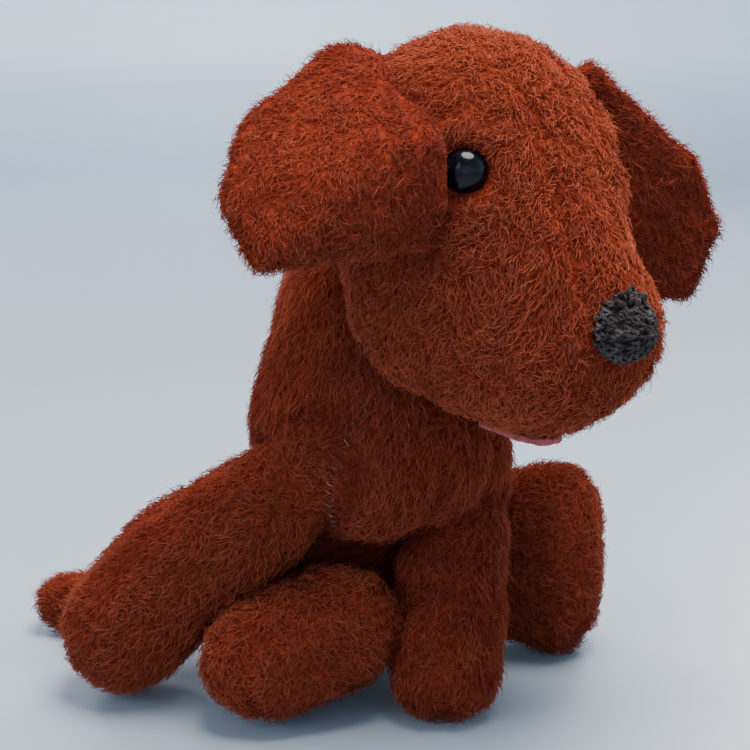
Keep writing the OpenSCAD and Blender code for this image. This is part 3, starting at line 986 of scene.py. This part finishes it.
def make_nose():
    """A ball of knotted yarn: crocheted rounds of slanting stitches, with a few loose loops on top."""
    first_row, last_row, row_step = 0.10, 2.15, 0.235        # angles from the nose's front
    stitch, half_stitch, yarn = 2.9 * MM, 1.3 * MM, 0.62 * MM
    lo, hi = map(np.array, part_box("nose_knot"))
    centre, r = (lo + hi) / 2, 0.5 * float((hi - lo)[[0, 2]].mean()) - 1.3 * MM
    front = unit(centre - coords(NODES["head_stuffing"]).mean(0) + np.array([0, 0, 0.03]))
    centre = centre - front * 1.5 * MM + np.array([-1.4, 1.6, 0.3]) * MM
    side = unit(np.cross(front, [0, 0, 1.0]))
    up = np.cross(side, front)
    rng = np.random.default_rng(9)

    def on_ball(tilt, turn, out):
        d = front * math.cos(tilt) + (side * math.cos(turn) + up * math.sin(turn)) * math.sin(tilt)
        return centre + d * (r + out)

    paths = []
    tilt, row = first_row, 0
    while tilt < last_row:
        stitches = max(4, round(2 * math.pi * math.sin(tilt) * r / stitch))
        wide = half_stitch / (r * max(math.sin(tilt), 0.15))
        for i in range(stitches):
            turn = 2 * math.pi * (i + 0.5 * (row % 2)) / stitches + rng.normal() * 0.10
            for lean in (-1, 1):
                paths.append([on_ball(tilt + (s - 0.5) * 0.33, turn + lean * wide * (s - 0.15),
                                      (1.25 * math.sin(math.pi * s) - 0.25) * MM
                                      + rng.normal() * 0.05 * MM) for s in np.linspace(0, 1, 8)])
        tilt += row_step
        row += 1
    for _ in range(18):                        # the knot's loose loops on top
        turn = math.pi / 2 + rng.normal() * 0.30
        tilt = rng.uniform(0.95, 1.45)
        spin, high, wide = rng.uniform(0, math.pi), rng.uniform(1.6, 3.6), rng.uniform(0.08, 0.15)
        paths.append([on_ball(tilt + wide * math.cos(w) * math.cos(spin),
                              turn + wide * math.cos(w) * math.sin(spin),
                              (0.2 + high * math.sin(w)) * MM) for w in np.linspace(0, math.pi, 10)])
    nose = tubes("nose_yarn", paths, yarn, 6, YARN, 2, 1 / (2.6 * MM))
    bm = bmesh.new()
    hull_into(bm, ball_points(centre, r - 0.3 * MM, 500))
    core = from_bmesh("nose_core", bm)
    core.data.materials.append(YARN)
    for piece in (nose, core):
        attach(piece, "head")
    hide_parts("nose_knot")


def make_tongue():
    """A tab of thick felt with a soft cut edge."""
    narrower, further = [0.78, 1.0, 1.0], np.array([-2.6, 3.4, 0.5]) * MM
    bm = bmesh.new()
    bm.from_mesh(NODES["tongue"].data)
    obj = remesh(from_bmesh("tongue_felt", bm), 0.7 * MM)
    relax(obj, 3)
    co, no = coords(obj), normals(obj)
    middle = co.mean(0)
    co = middle + (co - middle) * narrower + further
    co += no * (0.13 * MM * lattice_noise(co, 2600, 21))[:, None]
    set_coords(obj, co)
    obj.data.materials.append(FELT)
    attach(obj, "head")
    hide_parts("tongue")


def seam_course(count):
    """Even points along the shoulder seam, which bows forward round the right foreleg's root."""
    rise = np.linspace(27, -15, 40)
    bow = 0.0172 * (rise - 5) ** 2 - 11
    line = joint_at("foreleg_right_lift") + np.stack([bow, -19.6 - 0.3 * rise, rise], 1) * MM
    run = np.concatenate([[0], np.cumsum(np.linalg.norm(np.diff(line, axis=0), axis=1))])
    at = np.linspace(0, run[-1], count)
    return np.stack([np.interp(at, run, line[:, k]) for k in range(3)], 1)


def make_stitches(skins):
    """Ladder stitches that cross the shoulder seam, half sunk in the pile."""
    half_length = 1.35 * MM
    dg = bpy.context.evaluated_depsgraph_get()
    trees = [BVHTree.FromObject(skins[b], dg) for b in ("torso", "foreleg_right")]
    middle = coords(skins["torso"]).mean(0)
    rng = np.random.default_rng(31)
    course = seam_course(17)
    paths = []
    for c, t in zip(course, unit(np.gradient(course, axis=0))):
        out = unit(c - middle)
        across = unit(np.cross(out, t)) + 0.55 * t * rng.uniform(0.6, 1.3)
        pts = []
        for s in np.linspace(-1, 1, 9):
            p = c + across * s * half_length + out * 12 * MM
            tops = [h[0] for h in (tree.ray_cast(Vector(p), Vector(-out)) for tree in trees) if h[0]]
            skin = max(((np.array(h) - c) @ out for h in tops), default=0.0)
            pts.append(c + across * s * half_length + out * (skin + (1.9 - 2.1 * s * s) * MM))
        paths.append(pts)
    obj = tubes("shoulder_thread", paths, 0.30 * MM, 6, THREAD, 2, 1 / (1.4 * MM))
    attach(obj, "torso")
    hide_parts("shoulder_stitches")


def make_eye(side):
    """The eye's dome and shank, drawn a little way into the stuffing by its washer."""
    drawn_in = 2.0 * MM
    mesh = NODES["eye_" + side].data.copy()
    mesh.name = "eye_dome_" + side
    eye = link(mesh.name, mesh)
    set_coords(eye, coords(eye) - eye_axis(side)[1] * drawn_in + eye_lean(side))
    mesh.materials.clear()
    mesh.materials.append(EYE)
    for face in mesh.polygons:
        face.use_smooth = True
    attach(eye, "head")
    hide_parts("eye_" + side)


def colour_washer(side):
    """The washer stays as the CAD has it, and is only given its plastic."""
    washer = NODES["eye_washer_" + side]
    if washer.material_slots:
        washer.material_slots[0].material = EYE
    else:
        washer.data.materials.append(EYE)


make_camera()
make_stage()
make_lights()
GROUND, PILE = ground_material(), pile_material()
YARN, FELT, THREAD, EYE = yarn_material(), felt_material(), thread_material(), eye_material()
skins = make_skins()
blow_up(skins)
for body, obj in skins.items():
    finish_skin(body, obj)
    bind(body, obj)
grow_pile(skins)
for side in SIDES:
    colour_washer(side)
    make_eye(side)
make_nose()
make_tongue()
make_stitches(skins)
